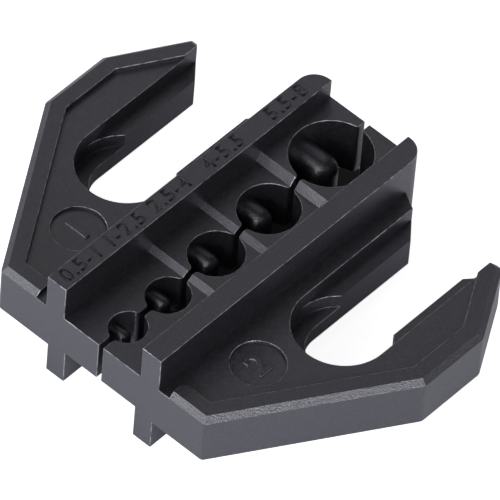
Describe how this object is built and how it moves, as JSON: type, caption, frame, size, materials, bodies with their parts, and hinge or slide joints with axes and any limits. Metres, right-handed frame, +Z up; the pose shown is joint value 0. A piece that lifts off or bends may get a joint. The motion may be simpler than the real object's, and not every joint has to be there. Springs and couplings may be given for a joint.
{
  "type": "crimping die set",
  "caption": "Mating black steel crimping dies for a ratcheting hand crimper: round nests with indenter fingers, seating ribs and open pin slots.",
  "frame": {"origin": "middle of the set in plan, on the level of the bottom ribs' lower edges", "axes": "+X from the top die to the bottom die, across the gap; +Y along the nests from the smallest to the largest, towards the open ends of the pin slots; +Z up, to the numbered side"},
  "size_m": [0.0436, 0.033, 0.0117],
  "materials": {
    "die_steel": "black oxide on a fine cast grain, matte"
  },
  "bodies": {
    "bottom_die": {"bottom_die": "die_steel"},
    "top_die": {"top_die": "die_steel"}
  },
  "joints": [
    {"name": "die_opening", "type": "slide", "parent": "bottom_die", "child": "top_die", "axis": [-1, 0, 0], "range_m": [-0.00045, 0.012]}
  ]
}
